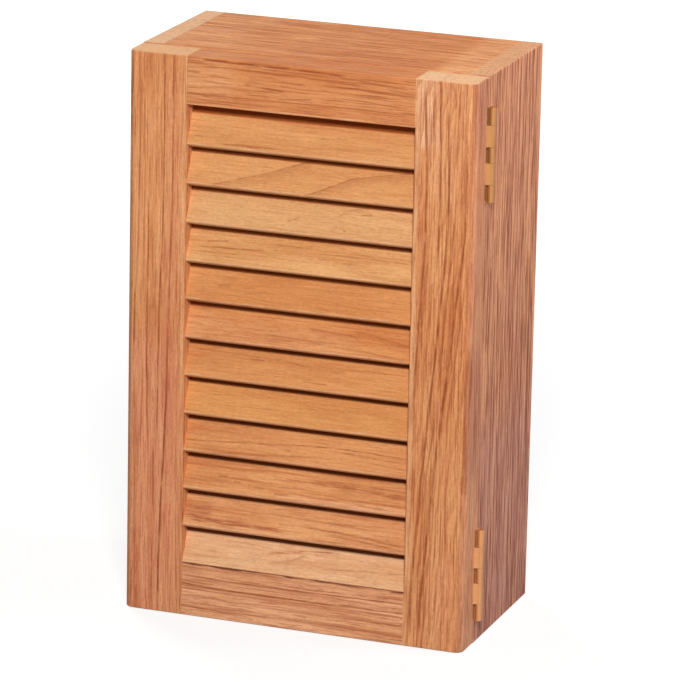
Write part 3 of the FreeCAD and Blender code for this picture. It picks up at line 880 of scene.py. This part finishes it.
def makeMetal(name):
    look = {**metal, **metals[name]}
    material, tree, shader = newMaterial(name)
    vector, normal = placeInMillimetres(tree, grainTurns["upright"])
    finish = useGroup(tree, metalGroup, Vector=vector)
    edge = useGroup(tree, edgeGroup, Vector=vector, Reach=look["edgeReach"] * mm)
    dull = calc(tree, "MULTIPLY", remap(tree, finish["Tarnish"], *look["tarnishBand"]), look["dullShow"])
    color = blendColor(tree, dull, tone(*look["clean"]), tone(*look["dull"]))
    if look["shadeShow"] > 0.0:
        # painted shade: what looks towards the hinge side and the back takes the dull colour
        away = lookTowards(tree, normal, look["shadeFrom"])
        shaded = remap(tree, away, *look["shadeBand"], 0.0, look["shadeShow"])
        color = blendColor(tree, shaded, color, tone(*look["dull"]))
    shade = remap(tree, finish["Lines"], *look["lineBand"], *look["lineShade"], smooth=False)
    color = blendColor(tree, 1.0, color, shade, mode="MULTIPLY")
    color = lay(tree, color, edge["Wear"], look["edgeShow"], look["edge"])
    if look["dirt"]:
        # painted shade in the slots, which lie deeper than the heads' tops on both sides of the gap beside
        # the door
        gapMiddle = -(hingeScrew["caseFace"] + hingeScrew["doorFace"]) / 2.0
        depth = calc(tree, "ABSOLUTE", calc(tree, "ADD", splitVector(tree, vector)[1], gapMiddle))
        dirt = remap(tree, depth, *look["dirtBand"], 0.0, look["dirtShow"])
        color = blendColor(tree, dirt, color, tone(*look["dirt"]))
    feed(tree, shader.inputs["Base Color"], color)
    shader.inputs["Metallic"].default_value = look["metallic"]
    low, high = look["rough"] - look["roughDip"], look["rough"] + look["roughRise"]
    rough = remap(tree, finish["Lines"], *look["lineBand"], low, high, smooth=False)
    rough = calc(tree, "ADD", rough, calc(tree, "MULTIPLY", dull, look["dullRough"]))
    feed(tree, shader.inputs["Roughness"], rough)
    height = calc(tree, "SUBTRACT", finish["Lines"], finish["Scratch"])
    addBump(tree, shader, height, look["bump"], look["bumpDepth"])
    return material


metalMaterials = {}
for metalName, look in metals.items():
    metalMaterials[metalName] = makeMetal(metalName)
    for nodeName in look["nodes"]:
        dress(nodeName, metalMaterials[metalName])
print("metal done")


def lathe(bm, profile, steps):
    # turns (radius, depth) points around the z axis, with the first and last point on it
    rings = []
    for radius, depth in profile:
        if radius == 0.0:
            rings.append([bm.verts.new((0.0, 0.0, depth))])
            continue
        angles = [2.0 * math.pi * i / steps for i in range(steps)]
        rings.append([bm.verts.new((radius * math.cos(a), radius * math.sin(a), depth)) for a in angles])
    for upper, lower in zip(rings, rings[1:]):
        for i in range(steps):
            j = (i + 1) % steps
            corners = [(upper, i), (lower, i), (lower, j), (upper, j)]
            face = list(dict.fromkeys(ring[step % len(ring)] for ring, step in corners))
            if len(face) > 2:
                bm.faces.new(face)
    bmesh.ops.recalc_face_normals(bm, faces=bm.faces)


def linkedObject(name, data):
    thing = bpy.data.objects.new(name, data)
    bpy.context.scene.collection.objects.link(thing)
    return thing


def meshOf(bm, name):
    mesh = bpy.data.meshes.new(name)
    bm.to_mesh(mesh)
    bm.free()
    return mesh


def screwMesh():
    # a countersunk wood screw, pointing down from the top of its head, with the slot cut out of it
    head, shank, length = hingeScrew["headRadius"], hingeScrew["shankRadius"], hingeScrew["length"]
    rim = [(head - inwards, -down) for inwards, down in hingeScrew["rim"]]
    blank = bmesh.new()
    lathe(blank, [
        (0.0, 0.0), *rim, (shank, -hingeScrew["headHeight"]), (shank, -length + hingeScrew["tipLength"]),
        (hingeScrew["tipRadius"], -length), (0.0, -length)], hingeScrew["segments"])
    cutter = bmesh.new()
    bmesh.ops.create_cube(cutter, size=1.0)
    slotSize = (4.0 * head, hingeScrew["slotWidth"], 2.0 * hingeScrew["slotDepth"])
    bmesh.ops.scale(cutter, vec=slotSize, verts=cutter.verts)
    screw = linkedObject("screwBlank", meshOf(blank, "screwBlank"))
    slot = linkedObject("slotCutter", meshOf(cutter, "slotCutter"))
    cut = screw.modifiers.new("slot", "BOOLEAN")
    cut.operation = "DIFFERENCE"
    cut.solver = "EXACT"
    cut.object = slot
    bpy.context.view_layer.update()
    slotted = bpy.data.meshes.new_from_object(screw.evaluated_get(bpy.context.evaluated_depsgraph_get()))
    for thing in (screw, slot):
        bpy.data.objects.remove(thing)
    return slotted


def setScrews(nodeName, body, face, inwards, turns):
    single = screwMesh()
    bm = bmesh.new()
    for level, turn in zip(hingeScrew["levels"], turns):
        part = bmesh.new()
        part.from_mesh(single)
        spin = Matrix.Rotation(math.radians(turn), 4, "Z")
        lean = Matrix.Rotation(math.radians(90.0 * inwards), 4, "X")     # the head looks away from the wood
        spot = Vector((hingeScrew["x"], face + inwards * hingeScrew["sunk"], level))
        part.transform(Matrix.Scale(mm, 4) @ Matrix.Translation(spot) @ lean @ spin)
        bm.from_mesh(meshOf(part, "screw"))
    mesh = meshOf(bm, nodeName + "_slotted")
    mesh.materials.append(metalMaterials["screwBrass"])
    screws = linkedObject(nodeName + "_slotted", mesh)
    mesh.shade_smooth()
    mesh.set_sharp_from_angle(angle=math.radians(hingeScrew["sharpAngle"]))
    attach(screws, body)
    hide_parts(nodeName)


setScrews("hinge_case_screws", "case", hingeScrew["caseFace"], 1.0, hingeScrew["turns"][:4])
setScrews("hinge_door_screws", "door", hingeScrew["doorFace"], -1.0, hingeScrew["turns"][4:])
print("screws done")

# a camera or lamp stands at a yaw, from straight in front of the door towards the hinge side, and at a rise
cameraSettings = {
    "yaw": 19.95, "rise": 15.83, "roll": 1.2, "distance": 3.311, "target": (0.0102, -0.0233, 0.1949),
    "lens": 253.2, "sensor": 36.0, "clipEnd": 50.0,
}
studio = {
    "floorSize": 30.0, "floorColor": 0.24, "floorRough": 0.9,
    "nearGlow": 0.77, "farGlow": 0.95, "glowReach": (0.3, 1.6),     # the floor pales away from the cabinet
    "aim": (0.0, 0.0, 0.2),
    "key": {"yaw": 21.0, "rise": 31.6, "distance": 2.5, "size": 0.5, "power": 60.0},
    "side": {"yaw": 97.0, "rise": 36.0, "distance": 0.9, "size": 0.3, "power": 3.0},
    "rear": {"yaw": 228.0, "rise": 18.0, "distance": 2.5, "size": 1.2, "power": 52.0},
    "worldLevel": 0.1,
}


def aimedPlace(settings, target, roll=0.0):
    # where a camera or lamp stands that looks at the target
    yaw, rise = math.radians(settings["yaw"]), math.radians(settings["rise"])
    back = Vector((math.sin(yaw) * math.cos(rise), -math.cos(yaw) * math.cos(rise), math.sin(rise)))
    turn = back.to_track_quat("Z", "Y").to_matrix() @ Matrix.Rotation(math.radians(roll), 3, "Z")
    return Matrix.Translation(Vector(target) + back * settings["distance"]) @ turn.to_4x4()


def placeCamera(settings):
    data = bpy.data.cameras.new("camera")
    data.lens = settings["lens"]
    data.sensor_width = settings["sensor"]
    data.clip_end = settings["clipEnd"]
    camera = linkedObject("camera", data)
    camera.matrix_world = aimedPlace(settings, settings["target"], settings["roll"])
    bpy.context.scene.camera = camera


def addSoftbox(name, settings):
    data = bpy.data.lights.new(name, "AREA")
    data.shape = "DISK"
    data.size = settings["size"]
    data.energy = settings["power"]
    lamp = linkedObject(name, data)
    lamp.matrix_world = aimedPlace(settings, studio["aim"])


def seenDirectly(tree):
    # 1 for what the camera sees, straight or through gloss and glass
    path = addNode(tree, "ShaderNodeLightPath")
    seen = calc(tree, "MAXIMUM", path.outputs["Is Camera Ray"], path.outputs["Is Glossy Ray"])
    return calc(tree, "MAXIMUM", seen, path.outputs["Is Transmission Ray"])


def makeFloor():
    half = studio["floorSize"] / 2.0
    mesh = bpy.data.meshes.new("floor")
    corners = [(-half, -half, 0.0), (half, -half, 0.0), (half, half, 0.0), (-half, half, 0.0)]
    mesh.from_pydata(corners, [], [(0, 1, 2, 3)])
    floor = linkedObject("floor", mesh)
    material, tree, shader = newMaterial("floorPaper")
    shader.inputs["Base Color"].default_value = (studio["floorColor"],) * 3 + (1.0,)
    shader.inputs["Roughness"].default_value = studio["floorRough"]
    shader.inputs["Specular IOR Level"].default_value = 0.0
    place = addNode(tree, "ShaderNodeTexCoord")
    reach = addNode(tree, "ShaderNodeVectorMath", operation="LENGTH")
    feed(tree, reach.inputs[0], place.outputs["Object"])
    level = remap(tree, reach.outputs["Value"], *studio["glowReach"], studio["nearGlow"], studio["farGlow"])
    glow = addNode(tree, "ShaderNodeEmission")
    feed(tree, glow.inputs["Strength"], calc(tree, "MULTIPLY", seenDirectly(tree), level))
    both = addNode(tree, "ShaderNodeAddShader")
    feed(tree, both.inputs[0], shader.outputs[0])
    feed(tree, both.inputs[1], glow.outputs[0])
    feed(tree, tree.nodes["Material Output"].inputs["Surface"], both.outputs[0])
    mesh.materials.append(material)


def makeWorld():
    world = bpy.data.worlds.new("studio")
    bpy.context.scene.world = world
    world.use_nodes = True
    tree = world.node_tree
    background = tree.nodes["Background"]
    feed(tree, background.inputs["Strength"], calc(tree, "MAXIMUM", seenDirectly(tree), studio["worldLevel"]))
    background.inputs["Color"].default_value = (1.0, 1.0, 1.0, 1.0)


placeCamera(cameraSettings)
makeFloor()
for lampName in ("key", "side", "rear"):
    addSoftbox(lampName + "Lamp", studio[lampName])
makeWorld()
bpy.context.scene.view_settings.view_transform = "Standard"
print("studio done")
